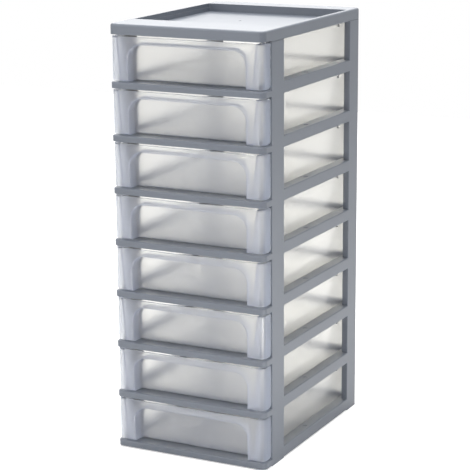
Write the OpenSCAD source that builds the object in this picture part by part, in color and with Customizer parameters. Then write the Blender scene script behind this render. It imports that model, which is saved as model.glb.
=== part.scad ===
// Free-standing drawer tower: a stack of open grey frames that plug into each
// other, a tray-shaped cover on top, and one translucent drawer in every frame.
// Units are millimetres. X is to the right, Y to the back and Z up. The origin
// is on the floor, under the middle of the tower.

/* [Tower] */
// Number of frames in the stack, each with one drawer
tier_count = 8; // [1:1:12]
// Width over the side rails
tower_w = 266; // [220:1:340]
// Depth from the front bands to the backs of the rear posts
tower_d = 363; // [320:1:460]
// Height from one frame to the next
tier_pitch = 83.5; // [76:0.5:140]
// Radius of the tower's upright corners
corner_r = 9; // [5:0.5:12]

/* [Frame] */
// Thickness of the grey walls
frame_wall = 2.2; // [1.6:0.1:2.8]
// Height of the front band, whose top is also the shelf that the drawer slides on
shelf_h = 9.8; // [8:0.2:13]
// Height of the side and rear rails
rail_h = 18; // [15:0.5:24]
// Width of the flat top of a side rail
side_rail_w = 17.7; // [15:0.1:24]
// Width of the flat top of the rear rail
rear_rail_w = 12; // [6:0.5:14]
// Radius of the rounded upper edges
edge_r = 2; // [0.5:0.25:3]
// Width of the shelf between each side rail and the opening in its middle
shelf_side_w = 12; // [10:0.5:40]
// Width of the shelf between that opening and the rear rail
shelf_rear_w = 11; // [4:0.5:40]
// Depth of the shelf in front of that opening, behind the front posts' front faces
shelf_front_w = 16; // [10:1:60]
// Radius of the opening's corners
opening_r = 35; // [5:1:60]
// Height of the low ribs on the shelf that carry the drawer
runner_h = 1.4; // [0.6:0.2:3]
// Width of those ribs
runner_w = 3; // [2:0.5:4]
// Distance from a side rail to the middle of the rib beside it
runner_inset = 6; // [5.5:0.5:8]

/* [Posts] */
// Thickness of a post, across the tower
post_t = 10.3; // [8:0.1:13]
// Depth of a front post, along the side
front_post_d = 43; // [30:1:60]
// Depth of a rear post, along the side
rear_post_d = 42.5; // [24:0.5:50]
// Depth of the low ledge between the front face and the front posts
ledge_d = 26; // [22:1:40]
// Radius of the posts' upright edges
post_edge_r = 1; // [0.5:0.25:2]
// How far a post's foot reaches down below its frame's rails
foot_h = 2; // [1:0.25:3]
// Height of the tenon on a post, which the foot above it takes
tenon_h = 6; // [3:0.5:9]
// Clearance all round a tenon in its socket
tenon_gap = 0.4; // [0.2:0.1:0.8]

/* [Top cover] */
// Height of the cover above the top frame's posts
cover_h = 18.5; // [15:0.5:30]
// Depth of the tray in the cover
tray_depth = 13; // [6:0.5:14]
// Width of the rim at each side of the tray
rim_w = 6; // [5:0.5:12]
// Radius of the tray's upright corners
tray_corner_r = 4; // [2:0.5:8]
// Radius of the cover's upper edge along its sides
cover_edge_r = 3.5; // [1:0.5:4.5]
// Width of the small step halfway down the tray's side walls
tray_step_w = 1.5; // [0.5:0.5:3]
// Height of the seam between the cover's skirt and the posts under it
cover_seam = 0.6; // [0.3:0.1:0.9]
// How far the cover's feet are drawn in behind that seam
cover_foot_inset = 1; // [0.4:0.1:1.2]

/* [Drawer] */
// Thickness of the drawer's walls
drawer_wall = 1.8; // [1.2:0.1:2.4]
// Gap between the drawer's top edge and the band above it
head_gap = 2.7; // [1:0.1:6]
// Gap between the drawer's front face and the plane of the front bands
front_inset = 1; // [0:0.5:4]
// Gap between the ends of the drawer's front and the plane of the side rails
wing_inset = 2; // [1:0.5:4]
// Radius of the drawer front's upright corners
wing_r = 10; // [5:0.5:14]
// Height of the drawer front's lower edge above the shelf
wing_lift = 2.7; // [1:0.1:6]
// Gap between the ends of the drawer front and the front posts
wing_gap = 0.5; // [0.4:0.1:2]
// Running gap between the drawer and what it slides on and between
run_gap = 0.6; // [0.3:0.1:1.2]
// Gap under the drawer's floor, over the ribs
floor_gap = 0.3; // [0.2:0.1:0.8]
// Gap between the drawer's back and the rear rail when it is shut
back_gap = 1.2; // [0.5:0.1:4]
// How much further back the drawer reaches at its top than at the rear rail
back_rake = 4; // [0:0.5:6]
// Radius of the drawer's rear corners
tub_r = 10; // [6:1:20]
// Width of the sloped edge around the drawer's floor
floor_bevel = 2.5; // [1:0.5:3]
// Width of the flange around the drawer's top edge
rim_flange_w = 1.2; // [0.8:0.1:2]
// Height of that flange
rim_flange_h = 2.2; // [1.2:0.2:4]

/* [Finger pull] */
// Distance from each side of the tower to the arched recess
pull_margin = 32; // [27:0.5:60]
// Height of the recess at the front face, above the shelf
pull_h = 58.4; // [40:0.2:60]
// Radius of the recess's upper corners
pull_r = 22; // [12:1:34]
// Depth of the recess at the foot of its panel
pull_depth = 19.5; // [12:0.5:24]
// How much shallower the recess is at the top of its panel
pull_rake = 3.5; // [0:0.5:6]
// How much higher the recess is at its panel than at the front lip
pull_hook = 3; // [0:0.5:6]
// How much narrower the recess is at its panel, on each side
pull_draft = 2; // [0:0.5:4]

/* [Stop tabs] */
// Distance a drawer can be pulled out
travel = 228; // [120:1:229]
// Length of a stop tab, along the drawer
tab_l = 8; // [5:0.5:14]
// Height of a stop tab
tab_h = 5; // [3:0.5:10]
// How far a stop tab overlaps the post that stops it
tab_catch = 1.5; // [0.8:0.1:3]

/* [Gate marks] */
// Radius of the round moulding mark on each side rail
rail_mark_r = 4; // [2:0.5:5]
// Distance of that mark in front of the middle of the tower
rail_mark_y = 14; // [0:1:60]
// Radius of the round moulding mark in the tray
tray_mark_r = 2.5; // [1:0.5:5]
// Depth of the marks
mark_depth = 0.7; // [0.3:0.1:1.2]

/* [Hidden] */

$fn = 64;
hull_fn = 32;        // facets of the rounded corners inside hulls
eps = 0.01;          // thickness of the slices that hulls join
past = 1;            // how far a cut runs past the face that it opens

front_y = -tower_d / 2;
back_y = tower_d / 2;
side_x = tower_w / 2;

// Frame
shelf_front_y = front_y + ledge_d;
post_x = side_x - post_t;
front_post_back_y = shelf_front_y + front_post_d;
rear_post_front_y = back_y - rear_post_d;
post_top = tier_pitch - foot_h;
bay_x = side_x - side_rail_w;
bay_back_y = back_y - rear_rail_w;
opening_x = bay_x - shelf_side_w;
opening_front_y = shelf_front_y + shelf_front_w;
opening_back_y = bay_back_y - shelf_rear_w;
runner_x = bay_x - runner_inset;
runner_front_y = shelf_front_y + 8;
runner_back_y = bay_back_y - 4;
mark_x = side_x - side_rail_w / 2;
brace_r = 7;

// Top cover, in heights above the bottoms of the rails that a next frame would have
cover_top = cover_h - foot_h;
tray_floor = cover_top - tray_depth;
skirt_z = cover_seam - foot_h;
cover_boss_h = tenon_h + 3;
tray_mark_x = -14;
tray_mark_y = 32;

// Drawer, in the heights of its own frame
tub_z0 = shelf_h + runner_h + floor_gap;
tub_z1 = tier_pitch - head_gap;
tub_top_x = post_x - run_gap - rim_flange_w;
tub_rail_x = bay_x - run_gap;
tub_rail_y = bay_back_y - back_gap;
tub_top_y = tub_rail_y + back_rake;
face_y = front_y + front_inset;
wing_x = side_x - wing_inset;
wing_back_y = shelf_front_y - wing_gap;
wing_z0 = shelf_h + wing_lift;
wing_foot_r = 6;
wing_head_r = 3;
front_corner_r = 2;
foot_bevel = 2.2;
pull_x = side_x - pull_margin;
panel_y = face_y + pull_depth;
panel_top = shelf_h + pull_h + pull_hook;
tab_front_y = front_post_back_y + travel + 1;
tab_x = post_x + tab_catch;

// Half width and rear edge of the drawer's outside at a height
function tub_x(z) = tub_rail_x + (tub_top_x - tub_rail_x) * (z - rail_h) / (tub_z1 - rail_h);
function tub_y(z) = tub_rail_y + (tub_top_y - tub_rail_y) * (z - rail_h) / (tub_z1 - rail_h);

// Bottom of frame number i, above the floor
function tier_z(i) = foot_h + (i - 1) * tier_pitch;

// ---- outlines ---------------------------------------------------------------

// Rectangle with rounded corners, centred on the origin
module rounded_plan(w, d, r) {
    square([w - 2 * r, d], center = true);
    square([w, d - 2 * r], center = true);
    for (x = [-1, 1], y = [-1, 1])
        translate([x * (w / 2 - r), y * (d / 2 - r)])
            circle(r);
}

// Upright strip of a moulding's edge: from the inside out to radius r, and up to
// height h, with its upper outer corner rounded by radius e
module edge_profile(r, h, e) {
    square([r, h - e]);
    square([r - e, h]);
    translate([r - e, h - e])
        circle(e);
}

// Block over the tower's whole plan, with its upper edges rounded by radius e
module plan_block(h, e) {
    core_x = side_x - corner_r;
    core_y = back_y - corner_r;
    box([-core_x, -core_y, 0], [core_x, core_y, h]);
    for (side = [0, 1])
        rotate(180 * side) {
            translate([0, -core_y, 0])
                rotate([90, 0, -90])
                    linear_extrude(2 * core_x, center = true)
                        edge_profile(corner_r, h, e);
            translate([core_x, 0, 0])
                rotate([90, 0, 0])
                    linear_extrude(2 * core_y, center = true)
                        edge_profile(corner_r, h, e);
            translate([core_x, core_y, 0])
                rotate_extrude(angle = 90)
                    edge_profile(corner_r, h, e);
            translate([-core_x, core_y, 0])
                rotate(90)
                    rotate_extrude(angle = 90)
                        edge_profile(corner_r, h, e);
        }
}

// The hollow inside such a block, open from below, one wall inside its outer faces
module plan_hollow(h) {
    translate([0, 0, -past])
        linear_extrude(h + past)
            rounded_plan(tower_w - 2 * frame_wall, tower_d - 2 * frame_wall, corner_r - frame_wall);
}

// Copies for the right and the left side
module both_sides() {
    for (side = [0, 1])
        mirror([side, 0, 0])
            children();
}

// Box from one corner to the opposite one
module box(low, high) {
    translate(low)
        cube(high - low);
}

// ---- posts ------------------------------------------------------------------

// Footprint of a right-hand post, drawn in by inset on every side
module post_plan(y0, y1, inset) {
    intersection() {
        translate([side_x - post_t / 2, (y0 + y1) / 2])
            rounded_plan(post_t - 2 * inset, y1 - y0 - 2 * inset, post_edge_r);
        rounded_plan(tower_w - 2 * inset, tower_d - 2 * inset, corner_r - inset);
    }
}

// Right-hand post: a channel that is open towards the drawer, with a tenon on top
module post(y0, y1) {
    difference() {
        translate([0, 0, -foot_h])
            linear_extrude(post_top + foot_h)
                post_plan(y0, y1, 0);
        translate([0, 0, rail_h])
            linear_extrude(post_top - frame_wall - rail_h)
                intersection() {
                    translate([post_x - past, y0 + frame_wall])
                        square([post_t + past, y1 - y0 - 2 * frame_wall]);
                    rounded_plan(tower_w - 2 * frame_wall, tower_d - 2 * frame_wall,
                                 corner_r - frame_wall);
                }
    }
    translate([0, 0, post_top])
        linear_extrude(tenon_h)
            post_plan(y0, y1, frame_wall + tenon_gap);
}

// Socket in the foot of a right-hand post, for the tenon of the post below
module socket(y0, y1, top) {
    translate([0, 0, -foot_h - past])
        linear_extrude(top + foot_h + past)
            post_plan(y0, y1, frame_wall);
}

// Sockets in the feet of all four posts
module sockets(top) {
    both_sides() {
        socket(shelf_front_y, front_post_back_y, top);
        socket(rear_post_front_y, back_y, top);
    }
}

// ---- frame ------------------------------------------------------------------

// Side and rear rails, higher than the shelf that they stand around
module rails() {
    difference() {
        plan_block(rail_h, edge_r);
        box([-side_x - past, front_y - past, -past], [side_x + past, shelf_front_y, rail_h + past]);
        box([-bay_x, front_y - past, -past], [bay_x, bay_back_y, rail_h + past]);
    }
}

// Hollow under the rails, open from below
module rail_hollow() {
    difference() {
        plan_hollow(rail_h - frame_wall);
        box([-side_x - past, front_y - past, -2 * past],
            [side_x + past, shelf_front_y + frame_wall, rail_h]);
        box([-bay_x - frame_wall, front_y - past, -2 * past],
            [bay_x + frame_wall, bay_back_y + frame_wall, rail_h]);
    }
}

// Curved braces that join the rear rail to the rear posts
module braces() {
    both_sides()
        difference() {
            box([post_x - brace_r, bay_back_y, rail_h - past],
                [post_x + past, back_y - corner_r + past, rail_h + brace_r]);
            translate([post_x - brace_r, bay_back_y - past, rail_h + brace_r])
                rotate([-90, 0, 0])
                    cylinder(h = corner_r + 2 * past, r = brace_r);
        }
}

// Opening in the middle of the shelf, down through the frame
module shelf_opening() {
    translate([0, (opening_front_y + opening_back_y) / 2, 0])
        linear_extrude(shelf_h + past)
            rounded_plan(2 * opening_x, opening_back_y - opening_front_y, opening_r);
}

// Low ribs along the shelf's sides, which the drawer slides on
module runners() {
    both_sides()
        box([runner_x - runner_w / 2, runner_front_y, shelf_h - past],
            [runner_x + runner_w / 2, runner_back_y, shelf_h + runner_h]);
}

// One frame, in its own heights
module frame_body() {
    difference() {
        union() {
            difference() {
                union() {
                    plan_block(shelf_h, edge_r);
                    rails();
                }
                plan_hollow(shelf_h - frame_wall);
                rail_hollow();
                shelf_opening();
            }
            both_sides() {
                post(shelf_front_y, front_post_back_y);
                post(rear_post_front_y, back_y);
            }
            braces();
            runners();
        }
        sockets(rail_h - frame_wall);
        both_sides()
            translate([mark_x, -rail_mark_y, rail_h - mark_depth])
                cylinder(h = mark_depth + past, r = rail_mark_r);
    }
}

module tier_frame(i) {
    color("#7b8189")
        translate([0, 0, tier_z(i)])
            frame_body();
}

// ---- top cover --------------------------------------------------------------

// Outline of the tray, drawn in at its sides and grown on every side
module tray_plan(step, grow) {
    translate([0, (front_post_back_y + rear_post_front_y) / 2])
        rounded_plan(2 * (side_x - rim_w - step + grow),
                     rear_post_front_y - front_post_back_y + 2 * grow, tray_corner_r + grow);
}

// Top plate of the cover with its walls and the hollow under it. Behind the front
// ledge its walls reach further down, to a seam above the posts.
module cover_shell() {
    difference() {
        translate([0, 0, skirt_z])
            plan_block(cover_top - skirt_z, cover_edge_r);
        difference() {
            translate([0, 0, skirt_z])
                plan_hollow(cover_top - frame_wall - skirt_z);
            translate([0, 0, tray_floor - frame_wall])
                linear_extrude(cover_top)
                    tray_plan(0, frame_wall);
        }
        box([-side_x - past, front_y - past, skirt_z - past], [side_x + past, shelf_front_y, 0]);
    }
}

// Feet that stand on the four posts of the top frame, behind that seam
module cover_feet() {
    translate([0, 0, -foot_h])
        linear_extrude(foot_h + cover_boss_h)
            both_sides() {
                post_plan(shelf_front_y, front_post_back_y, cover_foot_inset);
                post_plan(rear_post_front_y, back_y, cover_foot_inset);
            }
}

module top_cover() {
    color("#7b8189")
        translate([0, 0, tier_z(tier_count + 1)])
            difference() {
                union() {
                    cover_shell();
                    cover_feet();
                }
                sockets(cover_boss_h + past);
                translate([0, 0, tray_floor])
                    linear_extrude(cover_top)
                        tray_plan(tray_step_w, 0);
                translate([0, 0, cover_top - tray_depth / 2])
                    linear_extrude(cover_top)
                        tray_plan(0, 0);
                translate([tray_mark_x, tray_mark_y, tray_floor - mark_depth])
                    cylinder(h = mark_depth + past, r = tray_mark_r);
            }
}

// ---- drawer -----------------------------------------------------------------

// Thin slice of the tub at height z, drawn in by inset, from front edge y0 back
module tub_slice(z, inset, y0) {
    y1 = tub_y(z) - inset;
    translate([0, (y0 + y1) / 2, z])
        linear_extrude(eps)
            rounded_plan(2 * (tub_x(z) - inset), y1 - y0, tub_r - inset, $fn = hull_fn);
}

module tub_outside() {
    y0 = face_y + drawer_wall / 2;
    hull() {
        tub_slice(tub_z0, floor_bevel, y0 + floor_bevel);
        tub_slice(tub_z0 + floor_bevel, 0, y0);
        tub_slice(tub_z1 - eps, 0, y0);
    }
}

module tub_inside() {
    y0 = face_y + drawer_wall;
    hull() {
        tub_slice(tub_z0 + drawer_wall, drawer_wall + floor_bevel, y0 + floor_bevel);
        tub_slice(tub_z0 + drawer_wall + floor_bevel, drawer_wall, y0);
        tub_slice(tub_z1 + past, drawer_wall, y0);
    }
}

// Arch with its foot below the drawer, in the plane that faces the front at y
module arch_slice(y, half_w, top) {
    translate([0, y, 0])
        rotate([90, 0, 0])
            linear_extrude(eps) {
                translate([-half_w, tub_z0 - past])
                    square([2 * half_w, top - pull_r - tub_z0 + past]);
                for (side = [-1, 1])
                    translate([side * (half_w - pull_r), top - pull_r])
                        circle(pull_r, $fn = 2 * hull_fn);
            }
}

// Space of the finger pull, grown by a wall thickness, from front plane y0 back
module pull_space(grow, y0) {
    panel_x = pull_x - pull_draft + grow;
    hull() {
        arch_slice(y0, pull_x + grow, shelf_h + pull_h + grow);
        arch_slice(panel_y - pull_rake + grow, panel_x, panel_top + grow);
        box([-panel_x, panel_y + grow - eps, tub_z0 - past],
            [panel_x, panel_y + grow, tub_z0 + floor_bevel]);
    }
}

// Outline of the drawer's front and its two wings, drawn in by inset
module front_plan(inset) {
    intersection() {
        translate([0, face_y + tower_w / 2])
            rounded_plan(2 * (wing_x - inset), tower_w - 2 * inset, wing_r - inset);
        translate([-side_x, face_y])
            square([tower_w, wing_back_y - face_y]);
    }
}

// Side view of a wing: upright from the X axis, with its four corners rounded
module wing_side() {
    h = tub_z1 - wing_z0;
    d = wing_back_y - face_y;
    translate([face_y, wing_z0])
        hull() {
            translate([front_corner_r, front_corner_r])
                circle(front_corner_r);
            translate([front_corner_r, h - front_corner_r])
                circle(front_corner_r);
            translate([d - wing_foot_r, wing_foot_r])
                circle(wing_foot_r);
            translate([d - wing_head_r, h - wing_head_r])
                circle(wing_head_r);
        }
}

// The front with its wings, and the flat top that joins them to the tub
module front_shell() {
    intersection() {
        union() {
            linear_extrude(tier_pitch)
                difference() {
                    front_plan(0);
                    front_plan(drawer_wall);
                }
            translate([0, 0, tub_z1 - drawer_wall])
                linear_extrude(drawer_wall)
                    front_plan(0);
        }
        rotate([90, 0, 90])
            linear_extrude(tower_w, center = true)
                wing_side();
    }
}

// Flange around the top edge of the tub
module rim_flange() {
    y0 = face_y + drawer_wall / 2;
    translate([0, (y0 + tub_top_y + rim_flange_w) / 2, tub_z1 - rim_flange_h])
        linear_extrude(rim_flange_h)
            rounded_plan(2 * (tub_top_x + rim_flange_w), tub_top_y + rim_flange_w - y0,
                         tub_r + rim_flange_w);
}

// Tabs that stop the drawer against the backs of the front posts
module stop_tabs() {
    top = tub_z1 - rim_flange_h + drawer_wall / 2;
    both_sides()
        box([tub_x(top - tab_h) - drawer_wall / 2, tab_front_y, top - tab_h],
            [tab_x, tab_front_y + tab_l, top]);
}

// One drawer, in the heights of its own frame
module drawer_body() {
    difference() {
        union() {
            tub_outside();
            front_shell();
            rim_flange();
            stop_tabs();
        }
        difference() {
            tub_inside();
            pull_space(drawer_wall, face_y);
        }
        pull_space(0, face_y - past);
        translate([0, panel_y, tub_z0])
            rotate([45, 0, 0])
                cube([2 * (pull_x - pull_draft), foot_bevel, foot_bevel], center = true);
    }
}

module drawer(i) {
    color("#dfe7e6", 0.6)
        translate([0, 0, tier_z(i)])
            drawer_body();
}

// ---- drawing ----------------------------------------------------------------

top_cover();
for (i = [1 : tier_count]) {
    tier_frame(i);
    drawer(i);
}
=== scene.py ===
import math

import bmesh
import bpy
from mathutils import Matrix, Vector


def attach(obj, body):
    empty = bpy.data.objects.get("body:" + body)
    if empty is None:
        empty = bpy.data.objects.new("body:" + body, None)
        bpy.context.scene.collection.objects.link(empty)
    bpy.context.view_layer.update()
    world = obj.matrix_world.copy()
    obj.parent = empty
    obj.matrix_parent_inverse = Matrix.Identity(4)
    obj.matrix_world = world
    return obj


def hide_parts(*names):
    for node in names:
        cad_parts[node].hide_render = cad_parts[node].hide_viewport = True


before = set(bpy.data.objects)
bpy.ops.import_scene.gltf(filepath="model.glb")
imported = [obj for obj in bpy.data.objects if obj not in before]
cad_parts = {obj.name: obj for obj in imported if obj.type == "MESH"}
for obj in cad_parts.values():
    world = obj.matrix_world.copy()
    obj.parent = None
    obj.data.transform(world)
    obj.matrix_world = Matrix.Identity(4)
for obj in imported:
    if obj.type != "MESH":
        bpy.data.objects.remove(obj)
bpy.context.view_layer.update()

MM = 0.001

# ---- sizes in millimetres, the same as the solids' -----------------------------
# X runs to the right and Y to the back. Heights are above the bottom of a frame.

TIERS = 8
TIER_PITCH = 83.5
FOOT_H = 2.0                # the lowest frame's bottom above the floor
RAIL_H = 18.0               # height of the side rails

WALL = 1.8                  # thickness of the drawer's walls
FACE_Y = -180.5             # front face of the drawer
EDGE_R = 1.2                # rounding of the face's upper and lower edge
WING_X = 131.0
WING_R = 10.0               # upright corners between the face and the wings
WING_BACK_Y = -156.0
WING_Z0 = 12.5
WING_FOOT_R = 6.0
WING_HEAD_R = 3.0

TUB_Z0 = 11.5
TUB_Z1 = 80.8
TUB_TOP_X = 120.9           # half width and rear edge at the top ...
TUB_TOP_Y = 172.3
TUB_RAIL_X = 114.7          # ... and at the height of the rails
TUB_RAIL_Y = 168.3
TUB_R = 10.0                # rear corners
TUB_FRONT_R = 1.0
TUB_FLOOR_R = 4.0           # rounding round the floor, outside
TUB_INNER_R = 3.0           # rounding round the floor, inside

RIM_W = 1.2                 # flange round the tub's top edge
RIM_H = 2.2
RIM_EDGE = 0.5
RIM_FRONT = 1.0             # the flange's start behind the face
RIM_SINK = 0.02             # keeps its top out of the plane of the tub's top

PULL_HALF = 101.0           # arched finger recess, at the face
PULL_TOP = 68.2
PULL_R = 22.0
PULL_DEPTH = 19.5
PULL_RAKE = 3.5             # how much shallower it is at the top of its panel
PULL_HOOK = 3.0             # how much higher it is at its panel
PULL_DRAFT = 2.0            # how much narrower it is there, on each side
PULL_LIP_R = 3.0            # rounding of its outer edge
PULL_INNER_R = 4.0          # rounding between its walls and its panel
PULL_FOOT_R = 2.0           # rounding between its panel and the tub's floor
FOOT_PAST = 3.0             # how far the cut for that rounding runs past the floor
FOOT_SINK = 0.05            # keeps that cut's ends out of the planes of the recess's sides
HOUSING_Y = 0.7             # start of the wall round the recess, behind the face

TAB_X = 124.2               # stop tabs: outer faces, and their ranges along Y and Z
TAB_Y = (116.5, 124.5)
TAB_Z = (74.5, 79.5)
TAB_ROOT = 1.5              # how far a tab reaches into the tub's wall

PAST = 2.0                  # how far a cutting shape runs past what it cuts
FAR_PAST = 5.0
SIDE_SPAN = 140.0           # half width of the shape that trims the front's side view
SHELL_Z = (2.0, 90.0)       # heights of the front before that trim

CORNER_STEPS = 12           # facets of the roundings
FOOT_STEPS = 10             # under the wings
PULL_STEPS = 16
PULL_FOOT_STEPS = 8
EDGE_STEPS = 6
SHARP_ANGLE = 28            # degrees above which an edge stays sharp

# ---- looks ---------------------------------------------------------------------

GREY = (0.133, 0.150, 0.181)
GREY_SPREAD = 0.03          # how far the cloudy variation lightens or darkens it
GREY_ROUGHNESS = (0.38, 0.44)
GREY_IOR = 1.5
COAT_WEIGHT, COAT_ROUGHNESS = 0.4, 0.32
GREY_GRAIN = (900.0, 3.0, 0.55)   # scale, detail and roughness of a noise
GREY_CLOUD = (9.0, 3.0, 0.5)
CLOUD_ENDS = (0.3, 0.7)           # its values where the colour's ends lie
GREY_BUMP = (0.06, 0.0002)        # strength and distance of a bump

CLEAR_TINT = (1.0, 0.99, 0.95, 1)
HAZE_TINT = (0.72, 0.78, 0.98, 1)
# painted shade: darker colour of the haze in the wings' side faces, for the shade of the grey
# frame round them
WING_SHADE_TINT = (0.44, 0.49, 0.62, 1)
CLEAR_IOR = 1.49
FROST_CLOUD = (14.0, 3.0, 0.5)
FROST_GRAIN = (700.0, 2.0, 0.5)
FROST_BUMP = (0.03, 0.0001)
NARROW_ROUGHNESS = (0.10, 0.12)
WIDE_ROUGHNESS = (0.34, 0.38)
WIDE_SHARE = (0.25, 0.50)   # share of the blurring lobe in the tub, and in the front
HAZE_SHARE = (0.055, 0.115)  # share of the haze in the tub, and in the front
EDGE_HAZE = 0.14            # added in the front where it is seen edge on
WING_SHADE_HAZE = 0.20            # share of the darker haze added in the wings' side faces: painted shade
FRONT_ZONE = (-0.153, -0.159)  # Y in metres where the tub's shares turn into the front's
WING_ZONE = (0.1280, 0.1295)   # distance from the middle where a wing's side face begins
SHADOW_TINT = (0.96, 0.96, 0.96, 1)  # what a wall's surface lets through to a shadow

FLOOR_X = 6000              # half width of the floor
FLOOR_Y = (-5000, 3000)
FLOOR_WHITE = (0.87, 0.89)
FLOOR_FIBRE = (40.0, 4.0, 0.6)
FLOOR_GLOW = 0.42           # for the camera alone, so that the picture's floor is white
ROOM_LEVEL = 0.66
BACKDROP_LEVEL = 1.12
BACKDROP_YAW = math.radians(-27)
BACKDROP_AIM = (0.94, 0.34)  # level and upward part of the direction of the backdrop
BACKDROP_EDGE = (0.65, 0.97)  # cosines of the angles where it starts and is full

# ---- lamps and camera, in metres -----------------------------------------------

LAMPS = (                   # name, place, the point it is turned to, size, power in watts
    ("top_lamp", (-0.1, 0.0, 2.6), (0, 0, 0.4), (2.4, 2.0), 67),
    ("back_lamp", (-1.3, 2.5, 2.0), (0, 0, 0.5), (1.6, 1.2), 16),
    ("key_lamp", (-1.4, -2.7, 1.2), (0, 0, 0.2), (1.6, 1.6), 16),
    ("low_lamp", (0.64, -0.46, 0.06), (0.1, -0.1, 0.06), (0.3, 0.1), 0.9),
)

YAW, PITCH, ROLL = math.radians(-26.95), math.radians(13.54), math.radians(-0.38)
CAMERA = Vector((1.2510, -2.4790, 0.9953))
FOCAL_PX, PICTURE_PX, SENSOR_MM = 1742.4, 470.0, 36.0
CLIP = (0.05, 50)


# ---- mesh helpers --------------------------------------------------------------

def show(name, data):
    """New object for a mesh, a lamp or a camera, in the scene."""
    obj = bpy.data.objects.new(name, data)
    bpy.context.scene.collection.objects.link(obj)
    return obj


def new_object(name, verts, faces):
    """Mesh object from points in millimetres."""
    mesh = bpy.data.meshes.new(name)
    mesh.from_pydata([tuple(float(c) * MM for c in v) for v in verts], [], faces)
    mesh.validate()
    mesh.update()
    return show(name, mesh)


def make_outward(obj):
    bm = bmesh.new()
    bm.from_mesh(obj.data)
    bmesh.ops.recalc_face_normals(bm, faces=bm.faces)
    bm.to_mesh(obj.data)
    bm.free()


def loft(name, rings):
    """Closed solid through rings of points, each ring in the same order."""
    n = len(rings[0])
    verts = [p for ring in rings for p in ring]
    faces = []
    for k in range(len(rings) - 1):
        a, b = k * n, (k + 1) * n
        for i in range(n):
            j = (i + 1) % n
            faces.append((a + i, a + j, b + j, b + i))
    faces.append(tuple(reversed(range(n))))
    last = (len(rings) - 1) * n
    faces.append(tuple(last + i for i in range(n)))
    obj = new_object(name, verts, faces)
    make_outward(obj)
    return obj


def arc(cx, cy, r, a0, a1, steps):
    """Points on a circle from angle a0 to a1, in degrees."""
    angles = [math.radians(a0 + (a1 - a0) * k / steps) for k in range(steps + 1)]
    return [(cx + r * math.cos(a), cy + r * math.sin(a)) for a in angles]


def plan_ring(half_w, y0, y1, front_r, rear_r, z):
    """Rectangle at height z with rounded corners."""
    corners = ((half_w - front_r, y0 + front_r, front_r, -90),
               (half_w - rear_r, y1 - rear_r, rear_r, 0),
               (-half_w + rear_r, y1 - rear_r, rear_r, 90),
               (-half_w + front_r, y0 + front_r, front_r, 180))
    return [(x, y, z) for cx, cy, r, start in corners
            for x, y in arc(cx, cy, r, start, start + 90, CORNER_STEPS)]


def prism_x(name, outline, x0, x1):
    """Prism along X over an outline of (y, z) points."""
    return loft(name, [[(x, y, z) for y, z in outline] for x in (x0, x1)])


def prism_z(name, outline, z0, z1):
    """Prism along Z over an outline of (x, y) points."""
    return loft(name, [[(x, y, z) for x, y in outline] for z in (z0, z1)])


def boolean(obj, other, operation):
    """Applies one boolean to obj and removes the other object."""
    mod = obj.modifiers.new("cut", "BOOLEAN")
    mod.operation = operation
    mod.solver = "EXACT"
    mod.object = other
    depsgraph = bpy.context.evaluated_depsgraph_get()
    mesh = bpy.data.meshes.new_from_object(obj.evaluated_get(depsgraph))
    obj.modifiers.clear()
    old = obj.data
    obj.data = mesh
    bpy.data.meshes.remove(old)
    bpy.data.objects.remove(other, do_unlink=True)


# ---- drawer --------------------------------------------------------------------

def tub_x(z):
    """Half width of the tub's outside at height z."""
    return TUB_RAIL_X + (TUB_TOP_X - TUB_RAIL_X) * (z - RAIL_H) / (TUB_Z1 - RAIL_H)


def tub_y(z):
    """Rear edge of the tub's outside at height z."""
    return TUB_RAIL_Y + (TUB_TOP_Y - TUB_RAIL_Y) * (z - RAIL_H) / (TUB_Z1 - RAIL_H)


def tub_solid(name, inset, y0, z0, z1, floor_r):
    """Tub volume with rounded upright corners and a rounded edge round its floor."""
    turns = [math.pi / 2 * k / EDGE_STEPS for k in range(EDGE_STEPS + 1)]
    levels = [(z0 + floor_r * (1 - math.cos(a)), floor_r * (1 - math.sin(a))) for a in turns]
    levels.append((z1, 0.0))
    rings = []
    for z, pull_in in levels:
        x = tub_x(z) - inset - pull_in
        y1 = tub_y(z) - inset - pull_in
        rear_r = max(TUB_R - inset - pull_in, TUB_FRONT_R)
        rings.append(plan_ring(x, y0 + pull_in, y1, TUB_FRONT_R, rear_r, z))
    return loft(name, rings)


def pull_ring(depth, grow):
    """Arch of the finger recess at a depth behind the face, grown outwards."""
    share = depth / PULL_DEPTH
    half = PULL_HALF - PULL_DRAFT * share + grow
    top = PULL_TOP + PULL_HOOK * share + grow
    r = PULL_R + grow
    foot_z = TUB_Z0 - PAST
    outline = [(half, foot_z)]
    outline += arc(half - r, top - r, r, 0, 90, PULL_STEPS)
    outline += arc(-half + r, top - r, r, 90, 180, PULL_STEPS)
    outline += [(-half, foot_z)]
    ring = []
    for x, z in outline:
        rake = PULL_RAKE * (z - TUB_Z0) / (PULL_TOP + PULL_HOOK - TUB_Z0)
        d = depth if depth <= 0 else depth * (1 - rake / PULL_DEPTH)
        ring.append((x, FACE_Y + d, z))
    return ring


def pull_solid(name, grow, y0, lip_r):
    """Space of the finger recess, from the plane y0 back to its raked panel."""
    rings = [pull_ring(y0 - FACE_Y, grow + lip_r)]
    if lip_r > 0:
        for k in range(EDGE_STEPS + 1):
            t = lip_r * k / EDGE_STEPS
            flare = lip_r - math.sqrt(max(lip_r ** 2 - (lip_r - t) ** 2, 0))
            rings.append(pull_ring(t, grow + flare))
    deep = PULL_DEPTH + grow
    rings.append(pull_ring(deep / 2, grow))
    r = PULL_INNER_R
    for k in range(EDGE_STEPS + 1):
        a = math.pi / 2 * k / EDGE_STEPS
        rings.append(pull_ring(deep - r + r * math.sin(a), grow - r * (1 - math.cos(a))))
    return loft(name, rings)


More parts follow.
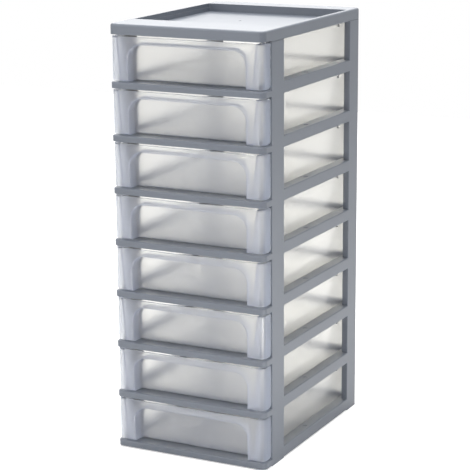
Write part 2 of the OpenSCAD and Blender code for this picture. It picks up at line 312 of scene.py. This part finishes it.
def front_outline(inset, past):
    """U-shaped plan of the front and its wings, which run past the wings' ends."""
    x, y, r = WING_X - inset, FACE_Y + inset, WING_R - inset
    pts = [(x, WING_BACK_Y + past)]
    pts += reversed(arc(x - r, y + r, r, -90, 0, CORNER_STEPS))
    pts += reversed(arc(-x + r, y + r, r, 180, 270, CORNER_STEPS))
    pts += [(-x, WING_BACK_Y + past)]
    return pts


def front_solid():
    """The front with its wings and the flat top that joins them to the tub."""
    shell = prism_z("front_shell", front_outline(0, PAST), *SHELL_Z)
    hollow = prism_z("hollow", front_outline(WALL, FAR_PAST), SHELL_Z[0] - PAST / 2,
                     TUB_Z1 - WALL)
    boolean(shell, hollow, "DIFFERENCE")
    side = arc(FACE_Y + EDGE_R, WING_Z0 + EDGE_R, EDGE_R, 180, 270, EDGE_STEPS)
    side += arc(WING_BACK_Y - WING_FOOT_R, WING_Z0 + WING_FOOT_R, WING_FOOT_R, -90, 0, FOOT_STEPS)
    side += arc(WING_BACK_Y - WING_HEAD_R, TUB_Z1 - WING_HEAD_R, WING_HEAD_R, 0, 90, EDGE_STEPS)
    side += arc(FACE_Y + EDGE_R, TUB_Z1 - EDGE_R, EDGE_R, 90, 180, EDGE_STEPS)
    boolean(shell, prism_x("side_view", side, -SIDE_SPAN, SIDE_SPAN), "INTERSECT")
    return shell


def rim_solid():
    """Flange round the tub's top edge, with its edges bevelled."""
    levels = ((TUB_Z1 - RIM_H, RIM_EDGE), (TUB_Z1 - RIM_H + RIM_EDGE, 0),
              (TUB_Z1 - RIM_EDGE - RIM_SINK, 0), (TUB_Z1 - RIM_SINK, RIM_EDGE))
    return loft("rim", [plan_ring(TUB_TOP_X + RIM_W - inset, FACE_Y + RIM_FRONT,
                                  TUB_TOP_Y + RIM_W - inset, TUB_FRONT_R,
                                  TUB_R + RIM_W - inset, z) for z, inset in levels])


def tab_solid(side):
    """Stop tab on the left (-1) or the right (1) of the tub."""
    x0, x1 = sorted((side * (TUB_TOP_X - TAB_ROOT), side * TAB_X))
    (y0, y1), (z0, z1) = TAB_Y, TAB_Z
    return prism_x("tab", [(y0, z0), (y1, z0), (y1, z1), (y0, z1)], x0, x1)


def pull_foot():
    """Cut that opens the recess downwards, with a rounded edge behind its panel's foot."""
    y, r, past = FACE_Y + PULL_DEPTH, PULL_FOOT_R, FOOT_PAST
    outline = [(y - past, TUB_Z0 - past), (y + r, TUB_Z0 - past)]
    outline += reversed(arc(y + r, TUB_Z0 + r, r, 180, 270, PULL_FOOT_STEPS))
    outline += [(y - past, TUB_Z0 + r)]
    half = PULL_HALF - PULL_DRAFT - FOOT_SINK
    return prism_x("foot", outline, -half, half)


def drawer_solid():
    """One drawer moulding in the heights of its own frame."""
    body = tub_solid("tub", 0, FACE_Y + WALL / 2, TUB_Z0, TUB_Z1, TUB_FLOOR_R)
    boolean(body, front_solid(), "UNION")
    boolean(body, rim_solid(), "UNION")
    for side in (-1, 1):
        boolean(body, tab_solid(side), "UNION")
    inside = tub_solid("inside", WALL, FACE_Y + WALL, TUB_Z0 + WALL, TUB_Z1 + PAST, TUB_INNER_R)
    boolean(inside, pull_solid("housing", WALL, FACE_Y + HOUSING_Y, 0), "DIFFERENCE")
    boolean(body, inside, "DIFFERENCE")
    boolean(body, pull_solid("recess", 0, FACE_Y - PAST, PULL_LIP_R), "DIFFERENCE")
    boolean(body, pull_foot(), "DIFFERENCE")
    return body


def shade(obj, angle):
    """Smooth shading, with edges above the angle kept sharp."""
    for p in obj.data.polygons:
        p.use_smooth = True
    obj.data.set_sharp_from_angle(angle=math.radians(angle))


# ---- node trees ----------------------------------------------------------------

class Nodes:
    """A node tree that is filled from its textures to its output."""

    def __init__(self, tree, output):
        self.tree = tree
        tree.nodes.clear()
        self.surface = self.new(output).inputs["Surface"]

    def put(self, socket, value):
        """Links value to the socket if it is a socket too, or else sets it there."""
        if isinstance(value, bpy.types.NodeSocket):
            self.tree.links.new(value, socket)
        else:
            socket.default_value = value

    def new(self, kind, **inputs):
        """New node, with its inputs by name and _ for a space in a name."""
        node = self.tree.nodes.new(kind)
        for key, value in inputs.items():
            self.put(node.inputs[key.replace("_", " ")], value)
        return node

    def noise(self, coord, scale, detail, roughness):
        node = self.new("ShaderNodeTexNoise", Vector=coord, Scale=scale, Detail=detail,
                        Roughness=roughness)
        return node.outputs["Fac"]

    def bump(self, height, strength, distance):
        node = self.new("ShaderNodeBump", Height=height, Strength=strength, Distance=distance)
        return node.outputs["Normal"]

    def ranged(self, value, to, start=0.0, end=1.0, curve="LINEAR"):
        """The value, mapped from start to end onto the range to and held at its ends."""
        node = self.new("ShaderNodeMapRange", Value=value, From_Min=start, From_Max=end,
                        To_Min=to[0], To_Max=to[1])
        node.interpolation_type = curve
        return node.outputs["Result"]

    def math(self, operation, *terms):
        node = self.new("ShaderNodeMath")
        node.operation = operation
        for socket, term in zip(node.inputs, terms):
            self.put(socket, term)
        return node.outputs["Value"]

    def mixed(self, share, first, second):
        """Mix of two shaders, with that share of the second."""
        node = self.new("ShaderNodeMixShader")
        for socket, value in zip(node.inputs, (share, first, second)):
            self.put(socket, value)
        return node.outputs["Shader"]


def new_material(name):
    mat = bpy.data.materials.new(name)
    mat.use_nodes = True
    return mat, Nodes(mat.node_tree, "ShaderNodeOutputMaterial")


def grey_plastic(name):
    """Satin grey moulded plastic, faintly cloudy and with a fine grain."""
    mat, n = new_material(name)
    coord = n.new("ShaderNodeTexCoord").outputs["Object"]
    grain = n.noise(coord, *GREY_GRAIN)
    cloud = n.noise(coord, *GREY_CLOUD)
    ramp = n.new("ShaderNodeValToRGB", Fac=cloud)
    ends = ((CLOUD_ENDS[0], 1 - GREY_SPREAD), (CLOUD_ENDS[1], 1 + GREY_SPREAD))
    for stop, (position, level) in zip(ramp.color_ramp.elements, ends):
        stop.position = position
        stop.color = (*(c * level for c in GREY), 1)
    plastic = n.new("ShaderNodeBsdfPrincipled", Base_Color=ramp.outputs["Color"],
                    Roughness=n.ranged(cloud, GREY_ROUGHNESS), Normal=n.bump(grain, *GREY_BUMP),
                    IOR=GREY_IOR, Coat_Weight=COAT_WEIGHT, Coat_Roughness=COAT_ROUGHNESS)
    n.put(n.surface, plastic.outputs["BSDF"])
    return mat


def frosted_plastic(name):
    """Translucent plastic: a nearly clear lobe, one that blurs what is behind it, and a haze.

    A drawer's front blurs more and is hazier than its tub. The side faces of its wings get
    more haze, in a darker colour that is painted shade of the grey frame round them.
    """
    mat, n = new_material(name)
    coord = n.new("ShaderNodeTexCoord").outputs["Object"]
    cloud = n.noise(coord, *FROST_CLOUD)
    normal = n.bump(n.noise(coord, *FROST_GRAIN), *FROST_BUMP)
    place = n.new("ShaderNodeSeparateXYZ", Vector=coord)
    front = n.ranged(place.outputs["Y"], (0, 1), *FRONT_ZONE)
    # the wings' side faces, where the haze is darkened as painted shade
    wing = n.ranged(n.math("ABSOLUTE", place.outputs["X"]), (0, 1), *WING_ZONE)

    narrow = n.new("ShaderNodeBsdfPrincipled", Base_Color=CLEAR_TINT, Transmission_Weight=1.0,
                   IOR=CLEAR_IOR, Roughness=n.ranged(cloud, NARROW_ROUGHNESS), Normal=normal)
    wide = n.new("ShaderNodeBsdfGlass", Color=CLEAR_TINT, IOR=CLEAR_IOR,
                 Roughness=n.ranged(cloud, WIDE_ROUGHNESS), Normal=normal)
    wide.distribution = "BECKMANN"
    clear = n.mixed(n.ranged(front, WIDE_SHARE), narrow.outputs["BSDF"], wide.outputs["BSDF"])

    # haze colour, turned darker in the wings' side faces as painted shade
    haze_colour_and_shade = n.new("ShaderNodeMix")
    haze_colour_and_shade.data_type = "RGBA"
    for index, value in ((0, wing), (6, HAZE_TINT), (7, WING_SHADE_TINT)):
        n.put(haze_colour_and_shade.inputs[index], value)
    milk = n.new("ShaderNodeBsdfTranslucent", Color=haze_colour_and_shade.outputs[2])
    matte = n.new("ShaderNodeBsdfDiffuse", Color=haze_colour_and_shade.outputs[2])
    haze = n.mixed(0.5, milk.outputs["BSDF"], matte.outputs["BSDF"])
    facing = n.new("ShaderNodeLayerWeight", Blend=0.5).outputs["Facing"]
    share = n.math("MULTIPLY_ADD", n.math("MULTIPLY", front, facing), EDGE_HAZE,
                   n.ranged(front, HAZE_SHARE))
    # more of the darker haze in the wings' side faces: painted shade
    share = n.math("MULTIPLY_ADD", wing, WING_SHADE_HAZE, share)
    frost = n.mixed(share, clear, haze)

    shadow = n.new("ShaderNodeLightPath").outputs["Is Shadow Ray"]
    through = n.new("ShaderNodeBsdfTransparent", Color=SHADOW_TINT)
    n.put(n.surface, n.mixed(shadow, frost, through.outputs["BSDF"]))
    return mat


def floor_paper(name):
    """Pale matte paper that the camera alone sees as white."""
    mat, n = new_material(name)
    fibre = n.noise(n.new("ShaderNodeTexCoord").outputs["Object"], *FLOOR_FIBRE)
    matte = n.new("ShaderNodeBsdfDiffuse", Color=n.ranged(fibre, FLOOR_WHITE))
    seen = n.new("ShaderNodeLightPath").outputs["Is Camera Ray"]
    glow = n.new("ShaderNodeEmission", Strength=n.math("MULTIPLY", seen, FLOOR_GLOW))
    both = n.new("ShaderNodeAddShader")
    n.put(both.inputs[0], matte.outputs["BSDF"])
    n.put(both.inputs[1], glow.outputs["Emission"])
    n.put(n.surface, both.outputs["Shader"])
    return mat


def studio_world(name):
    """Even room that is brightest behind the tower and white for the camera."""
    world = bpy.data.worlds.new(name)
    world.use_nodes = True
    n = Nodes(world.node_tree, "ShaderNodeOutputWorld")
    towards = n.new("ShaderNodeVectorMath")
    towards.operation = "DOT_PRODUCT"
    level, upward = BACKDROP_AIM
    aim = (math.sin(BACKDROP_YAW) * level, math.cos(BACKDROP_YAW) * level, upward)
    n.put(towards.inputs[0], n.new("ShaderNodeTexCoord").outputs["Generated"])
    n.put(towards.inputs[1], aim)
    room = n.ranged(towards.outputs["Value"], (ROOM_LEVEL, BACKDROP_LEVEL), *BACKDROP_EDGE,
                    curve="SMOOTHSTEP")
    seen = n.new("ShaderNodeLightPath").outputs["Is Camera Ray"]
    strength = n.new("ShaderNodeMix", Factor=seen, A=room, B=1.0).outputs["Result"]
    background = n.new("ShaderNodeBackground", Color=(1, 1, 1, 1), Strength=strength)
    n.put(n.surface, background.outputs["Background"])
    return world


# ---- the pieces ----------------------------------------------------------------

grey = grey_plastic("grey_plastic")
frosted = frosted_plastic("frosted_clear")

for node_name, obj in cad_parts.items():
    if not node_name.startswith("drawer_"):
        obj.data.materials.clear()
        obj.data.materials.append(grey)

pattern = drawer_solid()
shade(pattern, SHARP_ANGLE)
pattern.data.materials.clear()
pattern.data.materials.append(frosted)
for i in range(1, TIERS + 1):
    mesh = pattern.data.copy()
    mesh.transform(Matrix.Translation((0, 0, (FOOT_H + (i - 1) * TIER_PITCH) * MM)))
    piece = show("frosted_drawer_%d" % i, mesh)
    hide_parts("drawer_%d" % i)
    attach(piece, "drawer_body_%d" % i)
bpy.data.objects.remove(pattern, do_unlink=True)

# ---- floor and light -----------------------------------------------------------

floor = new_object("floor", [(-FLOOR_X, FLOOR_Y[0], 0), (FLOOR_X, FLOOR_Y[0], 0),
                             (FLOOR_X, FLOOR_Y[1], 0), (-FLOOR_X, FLOOR_Y[1], 0)], [(0, 1, 2, 3)])
floor.data.materials.append(floor_paper("floor_paper"))
bpy.context.scene.world = studio_world("studio")


def soft_lamp(name, place, aim, size, power):
    """Rectangular lamp at a place, turned towards a point."""
    light = bpy.data.lights.new(name, "AREA")
    light.shape = "RECTANGLE"
    light.size, light.size_y = size
    light.energy = power
    obj = show(name, light)
    obj.location = place
    obj.rotation_euler = (Vector(aim) - Vector(place)).to_track_quat("-Z", "Y").to_euler()


for lamp in LAMPS:
    soft_lamp(*lamp)

# ---- camera --------------------------------------------------------------------

forward = Vector((math.sin(YAW) * math.cos(PITCH), math.cos(YAW) * math.cos(PITCH),
                  -math.sin(PITCH)))
level_right = Vector((math.cos(YAW), -math.sin(YAW), 0))
level_up = level_right.cross(forward)
right = math.cos(ROLL) * level_right + math.sin(ROLL) * level_up
up = -math.sin(ROLL) * level_right + math.cos(ROLL) * level_up
cam_data = bpy.data.cameras.new("camera")
cam_data.sensor_width = SENSOR_MM
cam_data.lens = FOCAL_PX / PICTURE_PX * SENSOR_MM
cam_data.clip_start, cam_data.clip_end = CLIP
cam = show("camera", cam_data)
turn = Matrix((right, up, -forward)).transposed().to_4x4()
cam.matrix_world = Matrix.Translation(CAMERA) @ turn
bpy.context.scene.camera = cam
bpy.context.scene.view_settings.view_transform = "Standard"
